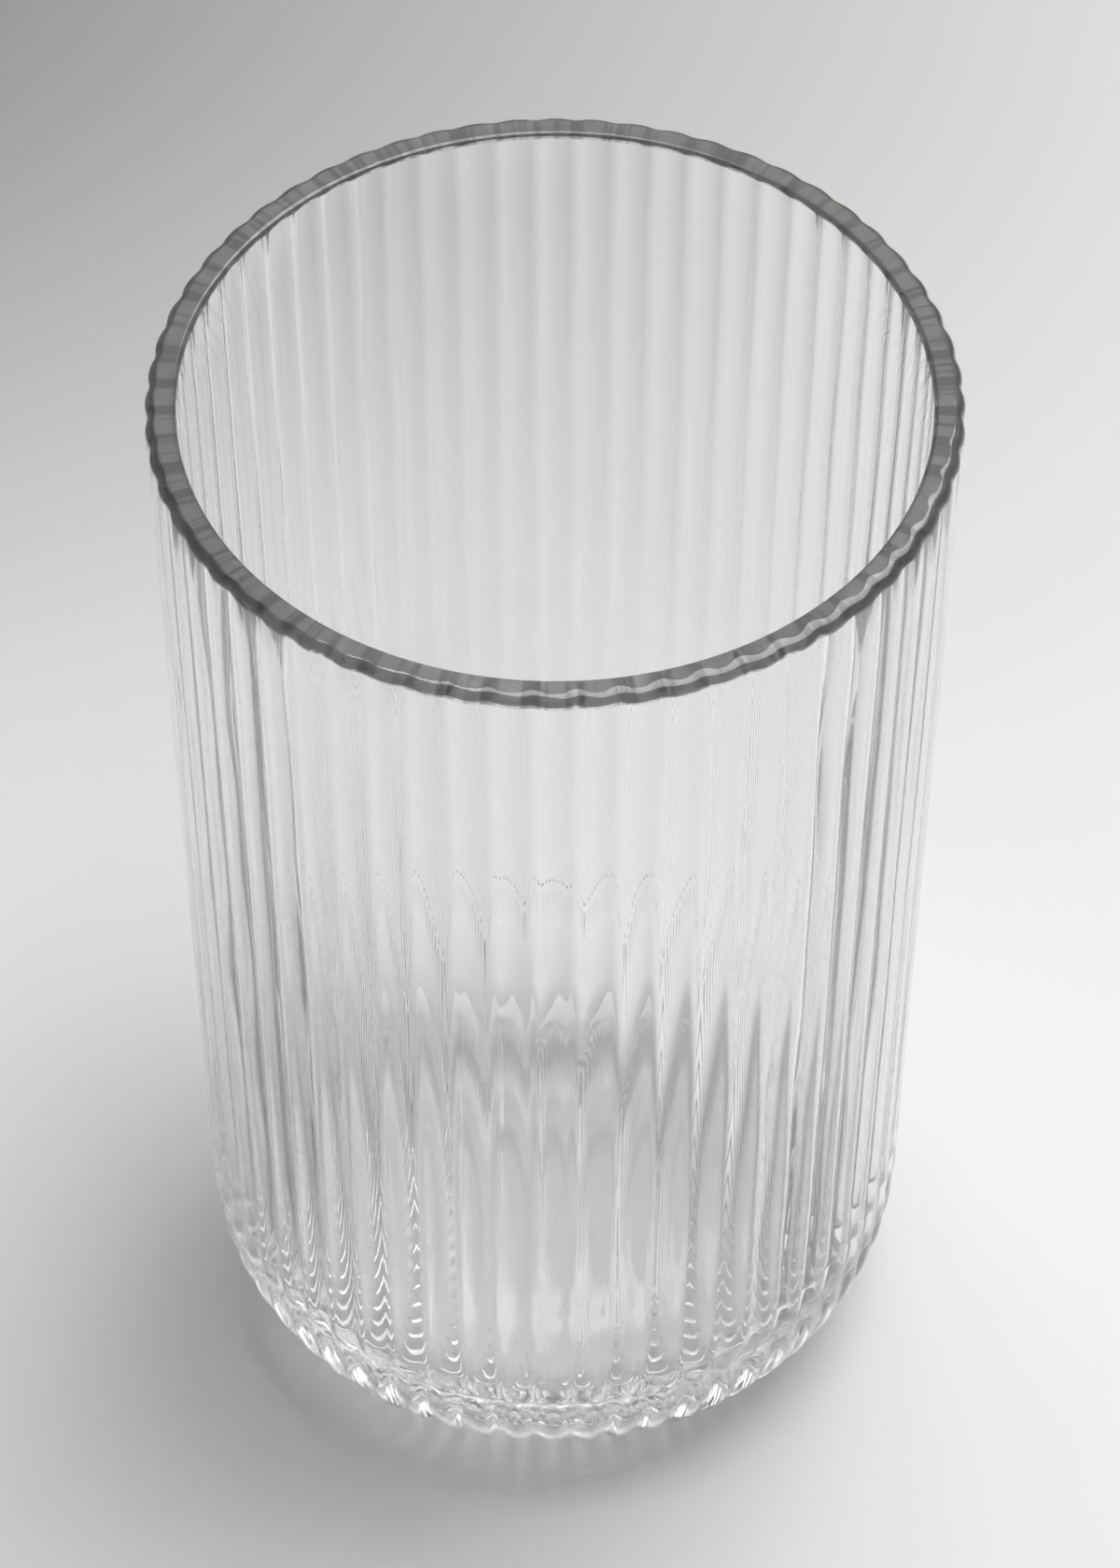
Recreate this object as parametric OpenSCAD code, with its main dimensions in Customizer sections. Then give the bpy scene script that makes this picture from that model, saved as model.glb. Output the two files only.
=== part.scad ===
// Ribbed tumbler: one moulded piece of clear glass.
// Convex ribs run down the outside, round the heel and in under the foot.
// The bore is smooth, the rim is fire polished and the base is thick.
// Origin at the centre of the foot, +Z up, millimetres.

/* [Outside] */
// Height from the table to the top of the rim
height = 126.5; // [95:0.5:160]
// Diameter over the rib crests at the rim
rim_d = 75; // [66:1:90]
// Angle by which the wall leans outwards from the heel to the rim
draft = 1.2; // [0.5:0.05:2.5]
// Radius of the rounded heel, over the rib crests
heel_r = 18.5; // [12:0.5:22]

/* [Ribs] */
// Number of ribs round the glass
rib_count = 60; // [40:1:72]
// Depth of the grooves between the wall's ribs, at the rim
rib_depth = 0.25; // [0.15:0.05:0.6]
// Depth of the grooves between the heel's ribs, where they would reach the rim's radius
heel_rib_depth = 0.55; // [0.2:0.05:0.9]
// Height of the plain ring that parts the wall's ribs from the heel's, above the heel's arc
ring_rise = 1.2; // [0.8:0.1:3]
// Width of the plain ring with its slopes
ring_w = 1.5; // [0.9:0.1:1.5]

/* [Wall and base] */
// Wall thickness over a rib crest at the rim
rim_wall = 2.9; // [2.6:0.1:4]
// Wall thickness over a rib crest just above the heel
heel_wall = 3.4; // [2.6:0.1:5]
// Thickness of the base at its centre
floor_t = 9; // [5:0.5:14]
// Radius of the corner between the bore and its floor
floor_r = 12; // [6:0.5:16]

/* [Rim and foot] */
// Radius of the fire-polished edge outside the rim
rim_out_r = 1.1; // [0.8:0.1:1.6]
// Radius of the fire-polished edge inside the rim
rim_in_r = 0.6; // [0.4:0.1:1]
// Width of the flat ring that the glass stands on
foot_w = 3; // [1.5:0.5:5]
// Depth of the hollow under the foot
punt_h = 0.8; // [0.4:0.1:1.5]
// Width of the slope at the edge of that hollow
punt_slope_w = 5; // [3:0.5:8]

/* [Hidden] */
$fn = 96;
// Flat steps across each rib, down the heel's arc and over the rim's outer edge
rib_steps = 4;
heel_steps = 8;
rim_steps = 4;
// Straight steps in each rounded corner of the bore's outline
bore_steps = 8;
// Angle of the heel's arc over which the ribs rise out of the foot
rib_fade = 25;
// Part of a groove's depth that is left across the plain ring
ring_groove_share = 0.1;
// Cutting solids pass this far beyond what they cut
overrun = 5;

// Half of the angle from one rib to the next
half_pitch = 180 / rib_count;

// Point where the wall meets the heel's arc, and the radius where that arc meets the table
rim_r = rim_d / 2;
heel_top_z = heel_r * (1 - sin(draft));
heel_top_r = rim_r - (height - rim_out_r - heel_top_z) * tan(draft);
heel_x = heel_top_r - heel_r * cos(draft);
foot_in_r = heel_x - foot_w;
ring_z = heel_top_z + ring_rise;

// Lean of the bore, and the centre of the arc at its floor
bore_rim_r = rim_r - rim_wall;
bore_lean = atan((bore_rim_r - heel_top_r + heel_wall) / (height - heel_top_z));
corner_z = floor_t + floor_r;
corner_top_z = corner_z - floor_r * sin(bore_lean);
corner_x = bore_rim_r - (height - corner_top_z) * tan(bore_lean) - floor_r * cos(bore_lean);

// Centre of the arc at the inner edge of the rim
lip_z = height - rim_in_r;
lip_foot_z = lip_z + rim_in_r * sin(bore_lean);
lip_x = bore_rim_r - (height - lip_foot_z) * tan(bore_lean) + rim_in_r * cos(bore_lean);

// The whole glass: a ribbed blank less its bore and the hollow under its foot
module tumbler() {
    color("lightgray", 0.35)
    difference() {
        blank();
        bore();
        punt();
    }
}

// Radius of the wall over its crests at a height
function wall_r(z) = heel_top_r + (z - heel_top_z) * tan(draft);

// Share of the ribs' depth on the heel's arc: a smooth rise from the foot
function risen_share(facing) =
    let (t = min(1, (facing + 90) / rib_fade))
    t ^ 2 * (3 - 2 * t);

// Steps along the outline of the rib crests, from the foot's edge to the top of the rim.
// Each is [radius, height, direction that the surface faces, depth of the grooves there].
crest_line = concat(
    [for (i = [0 : heel_steps])
        let (facing = -90 + (90 - draft) * i / heel_steps, r = heel_x + heel_r * cos(facing))
        [r, heel_r * (1 + sin(facing)), facing, heel_rib_depth * r / rim_r * risen_share(facing)]],
    [for (step = [
            [-1 / 2, heel_rib_depth],
            [-1 / 6, rib_depth * ring_groove_share],
            [1 / 6, rib_depth * ring_groove_share],
            [1 / 2, rib_depth]
        ])
        let (z = ring_z + ring_w * step[0], r = wall_r(z))
        [r, z, -draft, step[1] * r / rim_r]],
    [for (i = [0 : rim_steps])
        let (facing = 90 * i / rim_steps)
        [
            rim_r - rim_out_r * (1 - cos(facing)),
            height - rim_out_r * (1 - sin(facing)),
            facing,
            rib_depth * cos(facing)
        ]]
);

// One point of the ribbed surface, at column j of the row that a crest-line step gives.
// Across a rib the surface falls from the crest to the groove as a parabola.
function rib_point(step, j) =
    let (
        off_crest_share = 2 * (j % rib_steps) / rib_steps - 1,
        around = half_pitch * (2 * j / rib_steps - 1),
        d = step[3] * off_crest_share ^ 2,
        r = step[0] - d * cos(step[2])
    )
    [r * cos(around), r * sin(around), step[1] - d * sin(step[2])];

// Solid blank with the ribbed outside, closed flat at the foot and at the rim
module blank() {
    columns = rib_count * rib_steps;
    rows = len(crest_line);
    polyhedron(
        points = [for (step = crest_line, j = [0 : columns - 1]) rib_point(step, j)],
        faces = concat(
            [[for (j = [0 : columns - 1]) j]],
            [for (i = [0 : rows - 2], j = [0 : columns - 1])
                [i * columns + j, (i + 1) * columns + j, i * columns + (j + 1) % columns]],
            [for (i = [0 : rows - 2], j = [0 : columns - 1])
                [
                    i * columns + (j + 1) % columns,
                    (i + 1) * columns + j,
                    (i + 1) * columns + (j + 1) % columns
                ]],
            [[for (j = [columns - 1 : -1 : 0]) (rows - 1) * columns + j]]
        )
    );
}

// Points of an arc in a turned outline, about [x, z]
function arc(x, z, r, from_deg, to_deg) = [
    for (i = [0 : bore_steps])
        let (t = from_deg + (to_deg - from_deg) * i / bore_steps)
        [x + r * cos(t), z + r * sin(t)]
];

// Smooth bore, with its rounded floor corner and the rounded inner edge of the rim
module bore() {
    rotate_extrude()
    polygon(concat(
        [[0, floor_t]],
        arc(corner_x, corner_z, floor_r, -90, -bore_lean),
        arc(lip_x, lip_z, rim_in_r, 180 - bore_lean, 90),
        [[lip_x, height + overrun], [0, height + overrun]]
    ));
}

// Shallow hollow under the foot
module punt() {
    translate([0, 0, -overrun])
    cylinder(r = foot_in_r, h = overrun);
    cylinder(r1 = foot_in_r, r2 = foot_in_r - punt_slope_w, h = punt_h);
}

tumbler();
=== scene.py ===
"""Ribbed tumbler of clear soda-lime glass, standing on a pale studio floor.

The tumbler is one moulded piece, so it is one closed surface: an outline turned about the axis,
with 60 convex ribs pressed into its outside. Lengths are in millimetres until they reach Blender.
"""

import math

import bpy
import numpy as np
from mathutils import Matrix, Vector


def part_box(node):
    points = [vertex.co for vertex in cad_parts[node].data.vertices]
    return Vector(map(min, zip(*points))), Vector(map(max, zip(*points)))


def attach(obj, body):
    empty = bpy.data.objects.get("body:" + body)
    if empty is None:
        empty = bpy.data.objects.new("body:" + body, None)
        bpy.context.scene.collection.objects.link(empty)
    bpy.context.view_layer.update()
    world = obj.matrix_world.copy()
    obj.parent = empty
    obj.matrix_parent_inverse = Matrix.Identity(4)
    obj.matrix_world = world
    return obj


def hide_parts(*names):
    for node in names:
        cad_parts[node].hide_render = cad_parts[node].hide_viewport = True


MM = 0.001

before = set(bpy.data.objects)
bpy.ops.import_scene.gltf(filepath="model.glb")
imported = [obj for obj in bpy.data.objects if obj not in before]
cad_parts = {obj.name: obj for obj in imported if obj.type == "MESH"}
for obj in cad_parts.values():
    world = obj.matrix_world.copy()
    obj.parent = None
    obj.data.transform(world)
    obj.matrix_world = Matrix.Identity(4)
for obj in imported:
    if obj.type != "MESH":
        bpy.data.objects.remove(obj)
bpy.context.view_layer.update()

# Sizes of the tumbler: the first two are the frame's own
box_low, box_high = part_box("tumbler")
HEIGHT = (box_high.z - box_low.z) / MM
RIM_R = box_high.x / MM
DRAFT = math.radians(1.2)
HEEL_R = 18.5
RIB_COUNT = 60
RIB_DEPTH = 0.25
HEEL_RIB_DEPTH = 0.55
# Angle of the heel's arc over which the ribs rise out of the foot
HEEL_FADE = math.radians(25)
# Share of half a rib over which its edge runs out into the groove's soft bottom
GROOVE_SHARE = 0.3
RIM_WALL = 2.9
HEEL_WALL = 3.4
FLOOR_T = 9.0
FLOOR_R = 12.0
RIM_OUT_R = 1.1
RIM_IN_R = 0.6
FOOT_W = 3.0
PUNT_H = 0.8
PUNT_SLOPE_W = 5.0
# The plain ring that the mould's joint leaves between the wall's ribs and the heel's: its height
# above the heel's arc, its width, and how much of the grooves it fills
RING_RISE = 1.2
RING_W = 0.55
RING_FILL = 0.9
# Mould waviness: how far the grooves wander and vary, and how far the bore is out of true beyond
# the still middle of its floor
GROOVE_WANDER = math.radians(0.12)
GROOVE_VARIES = 0.06
BORE_WAVE = 0.012
BORE_STILL_R = 10
# The sines that each kind of waviness is the sum of, and their turns and lengths
DEPTH_WAVES, BORE_WAVES, WANDER_WAVES = 6, 7, 5
WAVE_TURNS, WAVE_LENGTHS = (1, 23), (25, 90)
WAVE_SEED = 7

# Relief of the moulded skin: width, stretch along the axis and depth of each kind of mark
LINE_W, LINE_STRETCH, LINE_DEPTH = 0.4, 60, 0.0007
BEAD_W, BEAD_STRETCH, BEAD_DEPTH = 0.3, 4, 0.006
WRINKLE_W, WRINKLE_STRETCH, WRINKLE_DEPTH = 0.5, 0.7, 0.006
# Share of half a rib that the beads along a groove's bottom take
BEADED_SHARE = 0.08
# Painted shade in dark streaks across the rim: their width, their strength, and the noise at which
# they set in
STREAK_W, STREAK_SHARE = 0.6, 0.75
STREAK_FROM, STREAK_TO = 0.52, 0.66
# They gather at the grooves: what is added to the noise there, within which share of half a rib
STREAK_GATHERS, STREAK_PLACE_SHARE = 0.18, 0.4
# How much painted shade the rim's inner arc gets beside its outer one, where light is caught in the
# edge
INNER_EDGE_SHARE = 0.6
# At the front, towards -Y, both edges get less painted shade, which is painted light for the light
# that comes up the front wall: by this share, and between these cosines of the angle from the front
FRONT_LIGHT_SHARE, FRONT_LIGHT_FROM, FRONT_LIGHT_TO = 0.9, 0.6, 0.9
# Ways that the surface faces where the rim's marks come and go: 0 is outwards and 180 inwards
RIM_FROM = math.radians(10)
MOULDED_TO = math.radians(30)
OUTER_EDGE_TO = math.radians(75)
UPWARDS = math.radians(90)
INNER_EDGE_FROM = math.radians(105)
# Names of the mesh's attributes that say where each kind of mark lies
MOULDED, GROOVE, HEEL = "moulded", "groove", "heel"
# The edge, rim and streak_place attributes say where shade is painted on the rim
SHADED_EDGE, RIM, STREAK_PLACE = "edge", "rim", "streak_place"

# Soda-lime glass: clear at the surface, and grey after a long way inside. The density times what
# the body's tone lacks of white is what it absorbs, about 6 per metre
GLASS_IOR = 1.52
BODY_TONE, BODY_DENSITY = "#BCBEBB", 12.0
# Base colours: clear glass, painted shade on the rim's edges, and painted shade in its streaks
CLEAR, EDGE_SHADE_TONE, STREAK_SHADE_TONE = "#FFFFFF", "#7F827F", "#4C4F4C"

# Columns across one rib and how much they crowd at its edges, and steps along each stretch of the
# outline
RIB_COLUMNS = 12
CROWDING = 0.45
PUNT_STEPS = 6
HEEL_STEPS = 30
RING_STEPS = 8
RING_REACH = 2
WALL_STEPS = 24
LIP_STEPS = 8
BORE_STEPS = 13
CORNER_STEPS = 26
FLOOR_STEPS = 5

# Places worked out from the sizes above
HEEL_TOP_Z = HEEL_R * (1 - math.sin(DRAFT))
RING_Z = HEEL_TOP_Z + RING_RISE
HEEL_TOP_R = RIM_R - (HEIGHT - RIM_OUT_R - HEEL_TOP_Z) * math.tan(DRAFT)
HEEL_X = HEEL_TOP_R - HEEL_R * math.cos(DRAFT)
FOOT_IN_R = HEEL_X - FOOT_W
BORE_RIM_R = RIM_R - RIM_WALL
BORE_LEAN = math.atan((BORE_RIM_R - HEEL_TOP_R + HEEL_WALL) / (HEIGHT - HEEL_TOP_Z))
CORNER_Z = FLOOR_T + FLOOR_R
CORNER_TOP_Z = CORNER_Z - FLOOR_R * math.sin(BORE_LEAN)
CORNER_TOP_R = BORE_RIM_R - (HEIGHT - CORNER_TOP_Z) * math.tan(BORE_LEAN)
CORNER_X = CORNER_TOP_R - FLOOR_R * math.cos(BORE_LEAN)
LIP_Z = HEIGHT - RIM_IN_R
LIP_FOOT_Z = LIP_Z + RIM_IN_R * math.sin(BORE_LEAN)
LIP_FOOT_R = BORE_RIM_R - (HEIGHT - LIP_FOOT_Z) * math.tan(BORE_LEAN)
LIP_X = LIP_FOOT_R + RIM_IN_R * math.cos(BORE_LEAN)

# Camera of the photograph, in millimetres and degrees; the focal length is in its pixels
PHOTO_H = 1680
FOCAL_PX = 7298.3
SENSOR = 36.0
CLIP_NEAR, CLIP_FAR = 10, 20000
CAMERA_Y = -435.2
CAMERA_Z = 571.5
PITCH = math.radians(48.893)
ROLL = math.radians(0.153)
YAW = math.radians(0.071)

# Studio floor, which sweeps up into a low surround
AIR_GAP = 0.05
FLOOR_RINGS = (60, 200, 500, 1000)
FLOOR_EDGE = 1500.0
SWEEP_R = 500.0
SWEEP_STEPS = 8
SURROUND_TOP = 700.0
STAGE_COLUMNS = 96
# Painted light and shade on its paper, at the left and at the right, near and far: darker towards the
# far left, where less light falls, and lighter at the near left, against the glass's shadow there; and
# the places between which they change
NEAR_LIT_TONES = "#F6F6F6", "#EBEBEB"
FAR_SHADED_TONES = "#868787", "#E9EAEA"
FAR_FROM, FAR_TO = -10, 210
RIGHT_FROM, RIGHT_TO = -100, 120
# Its tone past the pool of light, which is the horizon's too, and the radii where the pool ends
SURROUND_TONE = "#9C9D9D"
POOL_ENDS_FROM, POOL_ENDS_TO = 350, 900

# Room: its darkest and its brightest tone, the heights of a direction over which they take over
# from the horizon, and its brightest side, to the right, the back and up
ROOM_TONES = "#151616", "#8C8D8D"
HORIZON_FROM, HORIZON_TO = 0.15, 0.4
BRIGHT_SIDE = (0.7, 0.25, 0.67)
BRIGHT_FROM, BRIGHT_TO = -0.1, 0.9
# White screen high behind the glass: its direction, and the cosines of the angle from it over which
# it comes in
SCREEN_SIDE = (0.2, 0.66, 0.75)
SCREEN_FROM, SCREEN_TO = 0.6, 0.9

# Softbox, above and behind the glass to its right, and the point that it faces
KEY_SIZE, KEY_POWER = 800, 10.2
KEY_PLACE, KEY_AIM = (240, 165, 950), (0, 0, 60)

# Light is caught for dozens of bounces inside the wall. The softening is the renderer's own, for
# light that glass sends on to a matt surface
BOUNCES = 96
CAUSTIC_SOFTENING = 0.5


def linear(code):
    """Linear colour of an sRGB hex code, with alpha 1."""
    parts = [int(code[i : i + 2], 16) / 255 for i in (1, 3, 5)]
    return [c / 12.92 if c <= 0.04045 else ((c + 0.055) / 1.055) ** 2.4 for c in parts] + [1.0]


def add(tree, kind, settings=None, **links):
    """Adds a node. Settings are its own values, or values of its inputs by name or number.
    Each link names an input, with spaces as underscores, and gives the output that feeds it."""
    node = tree.nodes.new(kind)
    for key, value in (settings or {}).items():
        if isinstance(key, int) or key in node.inputs:
            node.inputs[key].default_value = value
        else:
            setattr(node, key, value)
    for key, output in links.items():
        name = key.replace("_", " ")
        socket = node.inputs[int(key[1:])] if key[1:].isdigit() else node.inputs[name]
        tree.links.new(output, socket)
    return node


def empty_tree(owner):
    """Node tree of a material or a world, with nothing in it yet."""
    owner.use_nodes = True
    owner.node_tree.nodes.clear()
    return owner.node_tree


def arc(x, z, r, start, end, steps):
    """Points of a circle's arc about (x, z), as rows of radius, height and facing angle."""
    t = np.linspace(start, end, steps + 1)
    return np.stack([x + r * np.cos(t), z + r * np.sin(t), t], axis=1)


def straight(r0, z0, r1, z1, facing, shares):
    """Points on a line of the outline at the given shares of its length, all facing one way."""
    s = np.asarray(shares)
    return np.stack([r0 + (r1 - r0) * s, z0 + (z1 - z0) * s, np.full_like(s, facing)], axis=1)


def smooth(x, low, high):
    """0 at low and beyond it, 1 at high and beyond it, and the cubic 3t^2 - 2t^3 between them,
    whichever of the two is the larger."""
    t = np.clip((x - low) / (high - low), 0, 1)
    return t * t * (3 - 2 * t)


def inner_steps(count):
    """Even shares between 0 and 1, without the two ends."""
    return np.arange(1, count) / count


def outside_outline():
    """Outline over the rib crests, from under the foot to the top of the rim.

    The hollow under the foot falls by the cubic of `smooth`. Then come the flat foot ring, the
    heel's arc, the leaning wall and the arc of the fire-polished outer edge. A fourth column is the
    ribs' depth there, which shrinks with the radius: none on the foot, deeper below the mould's
    ring than above it, and at the rim times the cosine of the facing angle, because there the
    ribs melt away upwards."""
    r = FOOT_IN_R * (np.arange(PUNT_STEPS) + 1) / (PUNT_STEPS + 1)
    z = PUNT_H * (1 - smooth(r, FOOT_IN_R - PUNT_SLOPE_W, FOOT_IN_R))
    punt = np.stack([r, z, np.full_like(r, -UPWARDS)], axis=1)
    foot = straight(FOOT_IN_R, 0, HEEL_X, 0, -UPWARDS, [0, 0.5])
    heel = arc(HEEL_X, HEEL_R, HEEL_R, -UPWARDS, -DRAFT, HEEL_STEPS)
    lip_z = HEIGHT - RIM_OUT_R
    wall_h = lip_z - HEEL_TOP_Z
    ring_rows = RING_Z + RING_W * np.linspace(-RING_REACH, RING_REACH, RING_STEPS + 1)
    even_rows = HEEL_TOP_Z + wall_h * inner_steps(WALL_STEPS)
    even_rows = even_rows[even_rows > ring_rows[-1]]
    rows = np.concatenate([ring_rows[ring_rows > HEEL_TOP_Z + RING_W / RING_STEPS], even_rows])
    wall = straight(HEEL_TOP_R, HEEL_TOP_Z, RIM_R, lip_z, -DRAFT, (rows - HEEL_TOP_Z) / wall_h)
    lip = arc(RIM_R - RIM_OUT_R, lip_z, RIM_OUT_R, -DRAFT, UPWARDS, LIP_STEPS)
    line = np.concatenate([punt, foot, heel, wall, lip])
    r, z, facing = line.T
    depth = np.where(z < RING_Z, HEEL_RIB_DEPTH, RIB_DEPTH) * r / RIM_R
    depth = depth * smooth(facing, -UPWARDS, -UPWARDS + HEEL_FADE)
    depth = depth * np.clip(np.cos(np.clip(facing, 0, None)), 0, 1)
    depth = depth * (1 - RING_FILL * np.exp(-(((z - RING_Z) / RING_W) ** 2)))
    return np.column_stack([line, depth])


def inside_outline():
    """Outline of the smooth inside, from the rim's inner arc down the bore to its floor. The ribs'
    depth is 0 all the way."""
    facing = math.pi - BORE_LEAN
    lip = arc(LIP_X, LIP_Z, RIM_IN_R, UPWARDS, facing, LIP_STEPS)
    shares = inner_steps(BORE_STEPS)
    bore = straight(LIP_FOOT_R, LIP_FOOT_Z, CORNER_TOP_R, CORNER_TOP_Z, facing, shares)
    corner = arc(CORNER_X, CORNER_Z, FLOOR_R, -BORE_LEAN, -UPWARDS, CORNER_STEPS)
    corner[:, 2] += math.pi
    floor = straight(CORNER_X, FLOOR_T, 0, FLOOR_T, UPWARDS, inner_steps(FLOOR_STEPS))
    line = np.concatenate([lip, bore, corner, floor])
    return np.column_stack([line, np.zeros(len(line))])


def waves(angle, z, count, seed):
    """Sum of a few sines round the glass and along its height, each with its own whole number of
    turns, its own length and its own start, scaled to stay about within -1 and 1."""
    random = np.random.default_rng(seed)
    total = 0
    for _ in range(count):
        turns = random.integers(*WAVE_TURNS)
        length = random.uniform(*WAVE_LENGTHS)
        start = random.uniform(0, 2 * math.pi)
        total = total + np.sin(turns * angle + 2 * math.pi * z / length + start)
    return total / math.sqrt(count)


def rib_angles():
    """Angles of the columns and where each lies across its rib, from -1 in one groove to 1 in the
    next. The columns crowd towards the grooves: s + c sin(pi s) / pi for even steps s, where c is
    CROWDING."""
    s = -1 + 2 * np.arange(RIB_COLUMNS) / RIB_COLUMNS
    across = s + CROWDING * np.sin(math.pi * s) / math.pi
    half = math.pi / RIB_COUNT
    centres = 2 * half * np.arange(RIB_COUNT)
    angles = (centres[:, None] + half * across[None, :]).ravel()
    return angles[None, :], np.tile(across, RIB_COUNT)[None, :]


def groove_depth(across):
    """Depth below the crest as a share of the rib's depth: the parabola of a convex rib, turned
    over within GROOVE_SHARE of the groove into a hollow parabola that meets it with equal slope."""
    u = np.abs(across)
    crown = u**2 / (1 - GROOVE_SHARE)
    hollow = 1 - (1 - u) ** 2 / GROOVE_SHARE
    return np.where(u < 1 - GROOVE_SHARE, crown, hollow)


def near_groove(across, share):
    """1 at the bottom of a groove, falling off as a bell curve over a share of half a rib."""
    return np.exp(-(((1 - np.abs(across)) / share) ** 2))


def around_axis(radius, angle, height):
    """Points at a radius, an angle round the axis and a height, as one grid."""
    x, y, z = np.broadcast_arrays(radius * np.cos(angle), radius * np.sin(angle), height)
    return np.stack([x, y, z], axis=2)


def tumbler_surface():
    """Points of the whole surface, on a grid of outline steps by columns, and the share of each
    kind of mark at each of them.

    Each outline step is turned about the axis and pushed in against its own facing direction by
    the rib's depth there, which shrinks with the radius. Slow waves vary the grooves' depth and
    wander along their length, as hot glass does in a mould, and set the bore slightly out of true.

    The mould marked the outside up to the rim's arc, with beads only along the grooves. Shade is
    painted on the rim's two arcs, without the crown between them, and less of it at the front, where
    painted light lifts it. Painted shade in streaks crosses it all."""
    outside = outside_outline()
    outline = np.concatenate([outside, inside_outline()])
    r, z, facing, pressed = outline.T[:, :, None]
    step = np.arange(len(outline))[:, None]
    is_outside = step < len(outside)
    is_bore = step >= len(outside) + LIP_STEPS
    is_inner_edge = ~is_outside & ~is_bore
    angles, across = rib_angles()

    depth = pressed * groove_depth(across)
    depth = depth * (1 + GROOVE_VARIES * waves(angles, z, DEPTH_WAVES, WAVE_SEED))
    untrue = BORE_WAVE * waves(angles, z, BORE_WAVES, WAVE_SEED + 1)
    depth = depth + is_bore * smooth(r, 0, BORE_STILL_R) * untrue
    wander = GROOVE_WANDER * waves(angles, z, WANDER_WAVES, WAVE_SEED + 2) * (pressed > 0)
    points = around_axis(r - depth * np.cos(facing), angles + wander, z - depth * np.sin(facing))

    # Painted shade on the rim's two arcs, less at the front, where painted light lifts it
    on_outer_arc = is_outside * smooth(facing, 0, RIM_FROM)
    outer_edge_shade = on_outer_arc * (1 - smooth(facing, OUTER_EDGE_TO, UPWARDS))
    inner_edge_shade = is_inner_edge * smooth(facing, UPWARDS, INNER_EDGE_FROM)
    # Painted light: the rim's painted shade is lifted on the side towards -Y
    front_light = FRONT_LIGHT_SHARE * smooth(-np.sin(angles), FRONT_LIGHT_FROM, FRONT_LIGHT_TO)
    shares = {
        MOULDED: is_outside * smooth(facing, UPWARDS, MOULDED_TO),
        GROOVE: is_outside * (pressed > RIB_DEPTH / 2) * near_groove(across, BEADED_SHARE),
        HEEL: is_outside * (1 - smooth(z, RING_Z - RING_W, RING_Z + RING_W)),
        SHADED_EDGE: (outer_edge_shade + INNER_EDGE_SHARE * inner_edge_shade) * (1 - front_light),
        RIM: on_outer_arc + is_inner_edge,
        STREAK_PLACE: near_groove(across, STREAK_PLACE_SHARE),
    }
    return points, shares


def turned_quads(rows, columns):
    """Corners of the quads between neighbouring rows of a grid that closes round its columns."""
    i = np.arange(rows - 1)[:, None] * columns
    j = np.arange(columns)[None, :]
    k = (j + 1) % columns
    corners = np.broadcast_arrays(i + j, i + k, i + columns + k, i + columns + j)
    return np.stack(corners, axis=2).reshape(-1, 4)


def pole_fan(pole, first, columns):
    """Corners of the triangles from a pole to the row of points that begins with a number."""
    around = np.arange(columns)
    beside = (around + 1) % columns
    return np.stack([np.full(columns, pole), first + around, first + beside], axis=1)


def smooth_object(name, points, faces):
    """Smooth-shaded object at the origin, in the scene."""
    mesh = bpy.data.meshes.new(name)
    mesh.from_pydata(points * MM, [], faces)
    mesh.polygons.foreach_set("use_smooth", np.ones(len(mesh.polygons), bool))
    mesh.update()
    piece = bpy.data.objects.new(name, mesh)
    bpy.context.scene.collection.objects.link(piece)
    return piece


def closed_surface(name, grid, bottom, top):
    """Object of a grid that closes round its columns, with a fan to a pole at either end."""
    rows, columns = grid.shape[:2]
    points = np.concatenate([grid.reshape(-1, 3), [bottom, top]])
    count = rows * columns
    fan_low = pole_fan(count, 0, columns)[:, [0, 2, 1]]
    fan_high = pole_fan(count + 1, count - columns, columns)
    faces = turned_quads(rows, columns).tolist() + fan_low.tolist() + fan_high.tolist()
    return smooth_object(name, points, faces)


def drawn_noise(tree, place, size, stretch):
    """Noise on the wall unrolled at the rim's radius: a point's direction from the axis times that
    radius, with its height divided by the stretch, so that marks follow the wall's lean."""
    flat = add(tree, "ShaderNodeVectorMath", {"operation": "MULTIPLY", 1: (1, 1, 0)}, i0=place)
    outwards = add(tree, "ShaderNodeVectorMath", {"operation": "NORMALIZE"}, i0=flat.outputs[0])
    height = add(
        tree,
        "ShaderNodeVectorMath",
        {"operation": "MULTIPLY", 1: (0, 0, 1 / stretch)},
        i0=place,
    )
    rolled = add(
        tree,
        "ShaderNodeVectorMath",
        {"operation": "MULTIPLY_ADD", 1: (RIM_R * MM, RIM_R * MM, 0)},
        i0=outwards.outputs[0],
        i2=height.outputs[0],
    )
    noise = add(
        tree,
        "ShaderNodeTexNoise",
        {"Scale": 1 / (size * MM), "Detail": 2.0, "Roughness": 0.5},
        Vector=rolled.outputs[0],
    )
    return noise.outputs[0]


def moulded_marks(tree, place, size, stretch, depth, skin):
    """Relief of one kind of mark: drawn noise times its depth, times the mesh's attribute that
    says where the mould left it."""
    where = add(tree, "ShaderNodeAttribute", {"attribute_name": skin})
    noise = drawn_noise(tree, place, size, stretch)
    deep = add(tree, "ShaderNodeMath", {"operation": "MULTIPLY", 1: depth}, i0=noise)
    marks = add(
        tree,
        "ShaderNodeMath",
        {"operation": "MULTIPLY"},
        i0=deep.outputs[0],
        i1=where.outputs["Fac"],
    )
    return marks.outputs[0]


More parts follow.
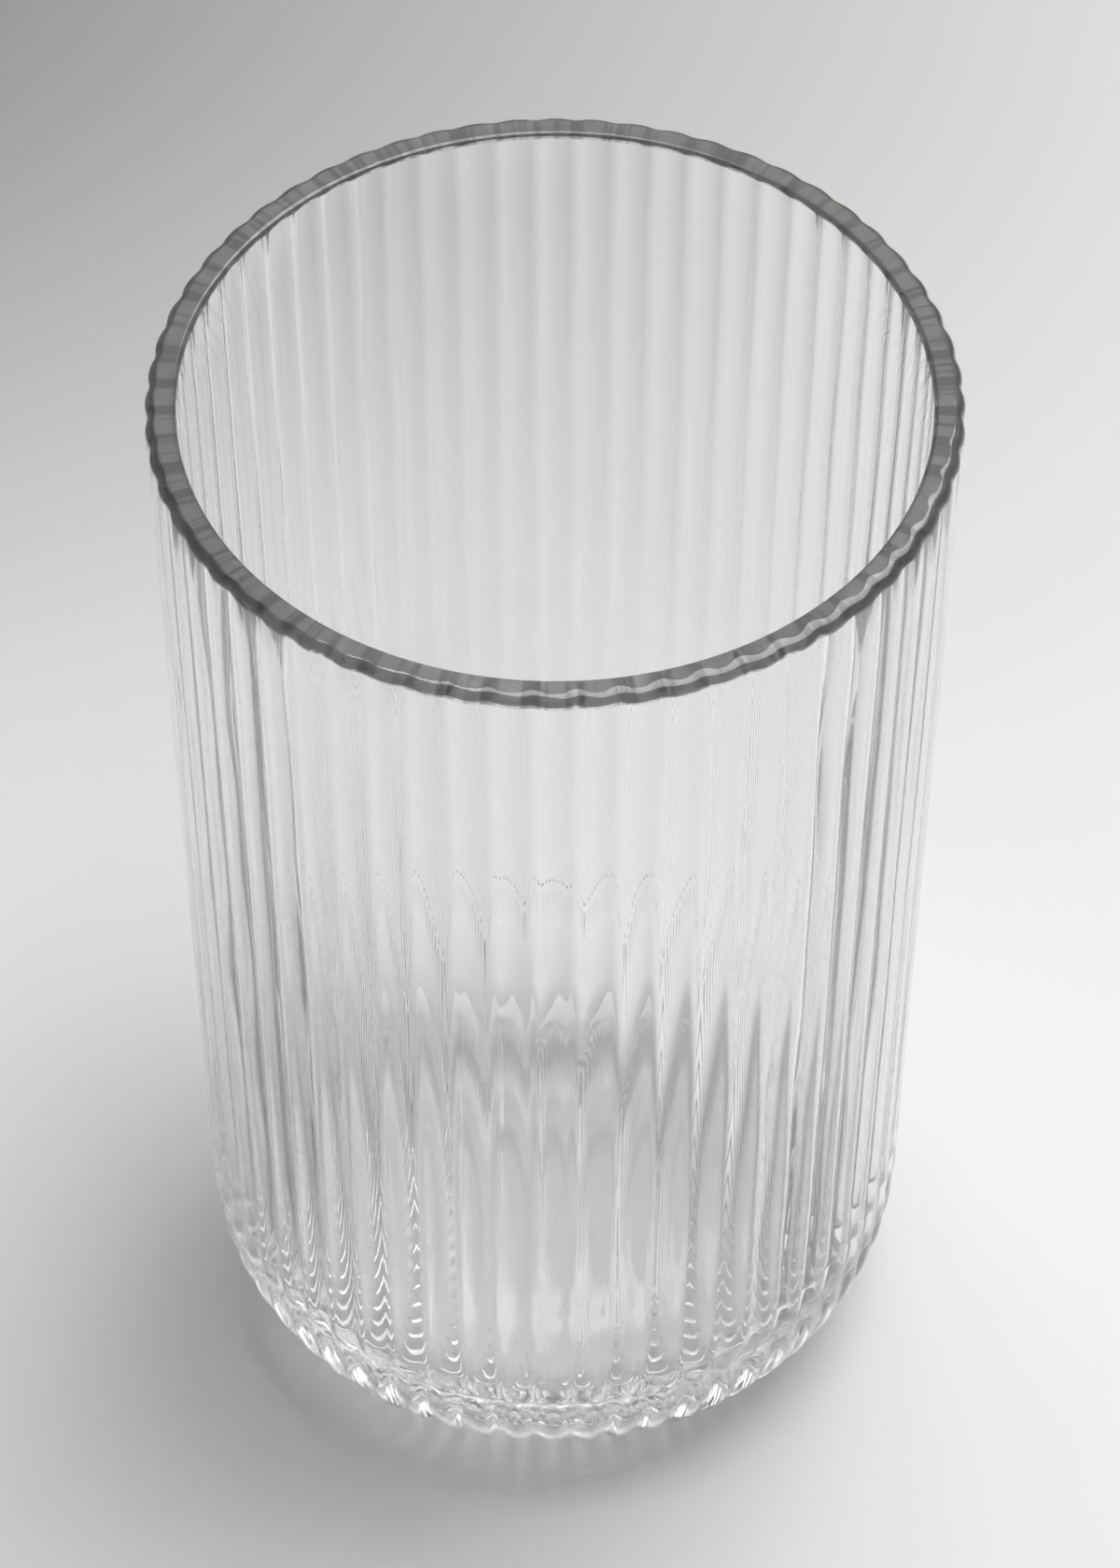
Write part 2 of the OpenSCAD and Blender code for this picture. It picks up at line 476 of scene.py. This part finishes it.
def rim_streak_shade(tree, place):
    """Strength of the painted shade in dark streaks across the rim: drawn noise, raised over the
    grooves, which goes from none at STREAK_FROM to all at STREAK_TO, times the share of the rim and
    STREAK_SHARE."""
    rim = add(tree, "ShaderNodeAttribute", {"attribute_name": RIM})
    grooves = add(tree, "ShaderNodeAttribute", {"attribute_name": STREAK_PLACE})
    gathered = add(
        tree,
        "ShaderNodeMath",
        {"operation": "MULTIPLY_ADD", 1: STREAK_GATHERS},
        i0=grooves.outputs["Fac"],
        i2=drawn_noise(tree, place, STREAK_W, LINE_STRETCH),
    )
    streaks = add(
        tree,
        "ShaderNodeMapRange",
        {"interpolation_type": "SMOOTHSTEP", "From Min": STREAK_FROM, "From Max": STREAK_TO},
        Value=gathered.outputs[0],
    )
    on_rim = add(
        tree,
        "ShaderNodeMath",
        {"operation": "MULTIPLY"},
        i0=streaks.outputs[0],
        i1=rim.outputs["Fac"],
    )
    strength = add(
        tree,
        "ShaderNodeMath",
        {"operation": "MULTIPLY", 1: STREAK_SHARE},
        i0=on_rim.outputs[0],
    )
    return strength.outputs[0]


def soda_lime_glass():
    """Clear soda-lime glass, pressed and fire polished. It refracts sharply, and iron in the melt
    turns light that has run down inside the wall a neutral grey, as the rim shows. Where the mould
    touched it, the skin keeps fine drawn lines down the wall, beads along the bottoms of the grooves
    and a wrinkled heel. Its base colour paints shade on the rim's two edges, less at the front, where
    painted light lifts it, and paints shade in fine dark streaks across the rim."""
    material = bpy.data.materials.new("fire_polished_soda_lime_glass")
    tree = empty_tree(material)
    place = add(tree, "ShaderNodeTexCoord").outputs["Object"]
    lines = moulded_marks(tree, place, LINE_W, LINE_STRETCH, LINE_DEPTH, MOULDED)
    beads = moulded_marks(tree, place, BEAD_W, BEAD_STRETCH, BEAD_DEPTH, GROOVE)
    wrinkles = moulded_marks(tree, place, WRINKLE_W, WRINKLE_STRETCH, WRINKLE_DEPTH, HEEL)
    skin = add(tree, "ShaderNodeMath", {"operation": "ADD"}, i0=lines, i1=beads)
    skin = add(tree, "ShaderNodeMath", {"operation": "ADD"}, i0=skin.outputs[0], i1=wrinkles)
    bump = add(tree, "ShaderNodeBump", {"Strength": 1.0, "Distance": MM}, Height=skin.outputs[0])
    # Base colour with painted shade on the rim's edges and painted shade in streaks across the rim
    edge = add(tree, "ShaderNodeAttribute", {"attribute_name": SHADED_EDGE})
    edge_shaded = add(
        tree,
        "ShaderNodeMix",
        {"data_type": "RGBA", 6: linear(CLEAR), 7: linear(EDGE_SHADE_TONE)},
        i0=edge.outputs["Fac"],
    )
    streak_shaded = add(
        tree,
        "ShaderNodeMix",
        {"data_type": "RGBA", 7: linear(STREAK_SHADE_TONE)},
        i0=rim_streak_shade(tree, place),
        i6=edge_shaded.outputs[2],
    )
    glass = add(
        tree,
        "ShaderNodeBsdfPrincipled",
        {"Roughness": 0.0, "IOR": GLASS_IOR, "Transmission Weight": 1.0},
        Base_Color=streak_shaded.outputs[2],
        Normal=bump.outputs[0],
    )
    body = add(
        tree,
        "ShaderNodeVolumeAbsorption",
        {"Color": linear(BODY_TONE), "Density": BODY_DENSITY},
    )
    add(tree, "ShaderNodeOutputMaterial", Surface=glass.outputs[0], Volume=body.outputs[0])
    return material


def make_tumbler():
    """The glass itself, which stands for the frame's node of the same shape."""
    grid, shares = tumbler_surface()
    piece = closed_surface("tumbler_glass", grid, (0, 0, PUNT_H), (0, 0, FLOOR_T))
    for name, share in shares.items():
        at_points = np.broadcast_to(share, grid.shape[:2]).ravel()
        values = np.append(at_points, [0, 0]).astype(np.float32)
        piece.data.attributes.new(name, "FLOAT", "POINT").data.foreach_set("value", values)
    piece.data.materials.append(soda_lime_glass())
    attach(piece, "root")
    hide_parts("tumbler")


def studio_paper():
    """Matt white studio paper with painted light and shade: darker towards the far left, where less
    light falls, and lighter at the near left, against the glass's shadow. Past the pool of light it
    shows its own pale tone to the eye and through the glass, so that no edge of the set shows."""
    material = bpy.data.materials.new("matt_studio_paper")
    tree = empty_tree(material)
    place = add(tree, "ShaderNodeTexCoord")
    parts = add(tree, "ShaderNodeSeparateXYZ", Vector=place.outputs["Object"])
    back = add(
        tree,
        "ShaderNodeMapRange",
        {
            "interpolation_type": "SMOOTHSTEP",
            "From Min": FAR_FROM * MM,
            "From Max": FAR_TO * MM,
        },
        Value=parts.outputs["Y"],
    )
    side = add(
        tree,
        "ShaderNodeMapRange",
        {"From Min": RIGHT_FROM * MM, "From Max": RIGHT_TO * MM},
        Value=parts.outputs["X"],
    )
    # Painted light and shade in the paper's tone: lighter at the near left, darker towards the far
    # left
    near = add(
        tree,
        "ShaderNodeMix",
        {"data_type": "RGBA", 6: linear(NEAR_LIT_TONES[0]), 7: linear(NEAR_LIT_TONES[1])},
        i0=side.outputs[0],
    )
    far = add(
        tree,
        "ShaderNodeMix",
        {"data_type": "RGBA", 6: linear(FAR_SHADED_TONES[0]), 7: linear(FAR_SHADED_TONES[1])},
        i0=side.outputs[0],
    )
    tone = add(
        tree,
        "ShaderNodeMix",
        {"data_type": "RGBA"},
        i0=back.outputs[0],
        i6=near.outputs[2],
        i7=far.outputs[2],
    )
    paper = add(tree, "ShaderNodeBsdfDiffuse", {"Roughness": 0.0}, Color=tone.outputs[2])
    glow = add(tree, "ShaderNodeEmission", {"Color": linear(SURROUND_TONE), "Strength": 1.0})
    distance = add(
        tree,
        "ShaderNodeVectorMath",
        {"operation": "LENGTH"},
        i0=place.outputs["Object"],
    )
    away = add(
        tree,
        "ShaderNodeMapRange",
        {
            "interpolation_type": "SMOOTHERSTEP",
            "From Min": POOL_ENDS_FROM * MM,
            "From Max": POOL_ENDS_TO * MM,
        },
        Value=distance.outputs["Value"],
    )
    path = add(tree, "ShaderNodeLightPath")
    seen = add(
        tree,
        "ShaderNodeMath",
        {"operation": "MAXIMUM"},
        i0=path.outputs["Is Camera Ray"],
        i1=path.outputs["Is Glossy Ray"],
    )
    seen = add(
        tree,
        "ShaderNodeMath",
        {"operation": "MAXIMUM"},
        i0=seen.outputs[0],
        i1=path.outputs["Is Transmission Ray"],
    )
    share = add(
        tree,
        "ShaderNodeMath",
        {"operation": "MULTIPLY"},
        i0=seen.outputs[0],
        i1=away.outputs[0],
    )
    surface = add(
        tree,
        "ShaderNodeMixShader",
        i0=share.outputs[0],
        i1=paper.outputs[0],
        i2=glow.outputs[0],
    )
    add(tree, "ShaderNodeOutputMaterial", Surface=surface.outputs[0])
    return material


def make_stage():
    """Paper floor that sweeps up into a low surround on every side: a flat disc, a quarter circle
    and a wall, turned about the axis of the tumbler."""
    turn = np.linspace(0, math.pi / 2, SWEEP_STEPS + 1)
    outer_r = FLOOR_EDGE + SWEEP_R
    r = np.concatenate([FLOOR_RINGS, FLOOR_EDGE + SWEEP_R * np.sin(turn), [outer_r]])
    z = np.concatenate([np.zeros(len(FLOOR_RINGS)), SWEEP_R * (1 - np.cos(turn)), [SURROUND_TOP]])
    angles = 2 * math.pi * np.arange(STAGE_COLUMNS) / STAGE_COLUMNS
    grid = around_axis(r[:, None], angles[None, :], (z - AIR_GAP)[:, None])
    points = np.concatenate([grid.reshape(-1, 3), [(0, 0, -AIR_GAP)]])
    quads = turned_quads(len(r), STAGE_COLUMNS)[:, [0, 3, 2, 1]]
    fan = pole_fan(len(points) - 1, 0, STAGE_COLUMNS)
    floor = smooth_object("studio_floor", points, quads.tolist() + fan.tolist())
    floor.data.materials.append(studio_paper())


def hang_softbox():
    """Square softbox above the table, turned to face the glass."""
    lamp = bpy.data.lights.new("key_softbox", "AREA")
    lamp.shape = "SQUARE"
    lamp.size = KEY_SIZE * MM
    lamp.energy = KEY_POWER
    holder = bpy.data.objects.new("key_softbox", lamp)
    bpy.context.scene.collection.objects.link(holder)
    place = Vector(KEY_PLACE) * MM
    holder.location = place
    holder.rotation_mode = "QUATERNION"
    holder.rotation_quaternion = (Vector(KEY_AIM) * MM - place).to_track_quat("-Z", "Y")


def dim_room():
    """World of the studio: a pale band at the horizon and a dim room above it, brighter on one
    side. A white screen behind the glass shows only in the glass. Reflected rays see it in place of
    the room. Refracted rays see it over the room, unless they have already met a matt surface, so
    that it doesn't light the floor."""
    world = bpy.data.worlds.new("studio_room")
    bpy.context.scene.world = world
    tree = empty_tree(world)
    place = add(tree, "ShaderNodeTexCoord")
    parts = add(tree, "ShaderNodeSeparateXYZ", Vector=place.outputs["Generated"])
    up = add(
        tree,
        "ShaderNodeMapRange",
        {"interpolation_type": "SMOOTHSTEP", "From Min": HORIZON_FROM, "From Max": HORIZON_TO},
        Value=parts.outputs["Z"],
    )
    towards = add(
        tree,
        "ShaderNodeVectorMath",
        {"operation": "DOT_PRODUCT", 1: Vector(BRIGHT_SIDE).normalized()},
        i0=place.outputs["Generated"],
    )
    lit = add(
        tree,
        "ShaderNodeMapRange",
        {"interpolation_type": "SMOOTHSTEP", "From Min": BRIGHT_FROM, "From Max": BRIGHT_TO},
        Value=towards.outputs["Value"],
    )
    room = add(
        tree,
        "ShaderNodeMix",
        {"data_type": "RGBA", 6: linear(ROOM_TONES[0]), 7: linear(ROOM_TONES[1])},
        i0=lit.outputs[0],
    )
    tone = add(
        tree,
        "ShaderNodeMix",
        {"data_type": "RGBA", 6: linear(SURROUND_TONE)},
        i0=up.outputs[0],
        i7=room.outputs[2],
    )
    light = add(tree, "ShaderNodeBackground", {"Strength": 1.0}, Color=tone.outputs[2])
    dark = add(tree, "ShaderNodeBackground", {"Strength": 0.0})
    path = add(tree, "ShaderNodeLightPath")
    walls = add(
        tree,
        "ShaderNodeMixShader",
        i0=path.outputs["Is Glossy Ray"],
        i1=light.outputs[0],
        i2=dark.outputs[0],
    )
    ahead = add(
        tree,
        "ShaderNodeVectorMath",
        {"operation": "DOT_PRODUCT", 1: Vector(SCREEN_SIDE).normalized()},
        i0=place.outputs["Generated"],
    )
    covered = add(
        tree,
        "ShaderNodeMapRange",
        {"interpolation_type": "SMOOTHSTEP", "From Min": SCREEN_FROM, "From Max": SCREEN_TO},
        Value=ahead.outputs["Value"],
    )
    unscattered = add(
        tree,
        "ShaderNodeMath",
        {"operation": "LESS_THAN", 1: 0.5},
        i0=path.outputs["Diffuse Depth"],
    )
    refracted = add(
        tree,
        "ShaderNodeMath",
        {"operation": "MULTIPLY"},
        i0=path.outputs["Is Transmission Ray"],
        i1=unscattered.outputs[0],
    )
    seen = add(
        tree,
        "ShaderNodeMath",
        {"operation": "ADD"},
        i0=refracted.outputs[0],
        i1=path.outputs["Is Glossy Ray"],
    )
    strength = add(
        tree,
        "ShaderNodeMath",
        {"operation": "MULTIPLY"},
        i0=covered.outputs[0],
        i1=seen.outputs[0],
    )
    screen = add(
        tree,
        "ShaderNodeBackground",
        {"Color": linear(CLEAR)},
        Strength=strength.outputs[0],
    )
    surface = add(tree, "ShaderNodeAddShader", i0=walls.outputs[0], i1=screen.outputs[0])
    add(tree, "ShaderNodeOutputWorld", Surface=surface.outputs[0])


def photo_camera():
    """Camera of the photograph. Its axes are right, up and back; the roll turns the first two."""
    right = Vector((math.cos(YAW), -math.sin(YAW), 0))
    level = math.cos(PITCH)
    ahead = Vector((math.sin(YAW) * level, math.cos(YAW) * level, -math.sin(PITCH)))
    up = right.cross(ahead)
    rolled_right = math.cos(ROLL) * right + math.sin(ROLL) * up
    rolled_up = math.cos(ROLL) * up - math.sin(ROLL) * right
    data = bpy.data.cameras.new("photo_camera")
    data.sensor_width = SENSOR
    data.lens = FOCAL_PX / PHOTO_H * SENSOR
    data.clip_start = CLIP_NEAR * MM
    data.clip_end = CLIP_FAR * MM
    camera = bpy.data.objects.new("photo_camera", data)
    bpy.context.scene.collection.objects.link(camera)
    turn = Matrix((rolled_right, rolled_up, -ahead)).transposed().to_4x4()
    camera.matrix_world = Matrix.Translation(Vector((0, CAMERA_Y, CAMERA_Z)) * MM) @ turn
    bpy.context.scene.camera = camera


def render_settings():
    """Standard colours, enough bounces for light that is caught inside thick glass, and no clamp on
    bright paths, which would darken the glass. Light that the glass focuses is softened instead."""
    scene = bpy.context.scene
    scene.view_settings.view_transform = "Standard"
    scene.cycles.max_bounces = BOUNCES
    scene.cycles.transmission_bounces = BOUNCES
    scene.cycles.glossy_bounces = BOUNCES
    scene.cycles.blur_glossy = CAUSTIC_SOFTENING
    scene.cycles.sample_clamp_indirect = 0.0


render_settings()
photo_camera()
make_tumbler()
make_stage()
dim_room()
hang_softbox()
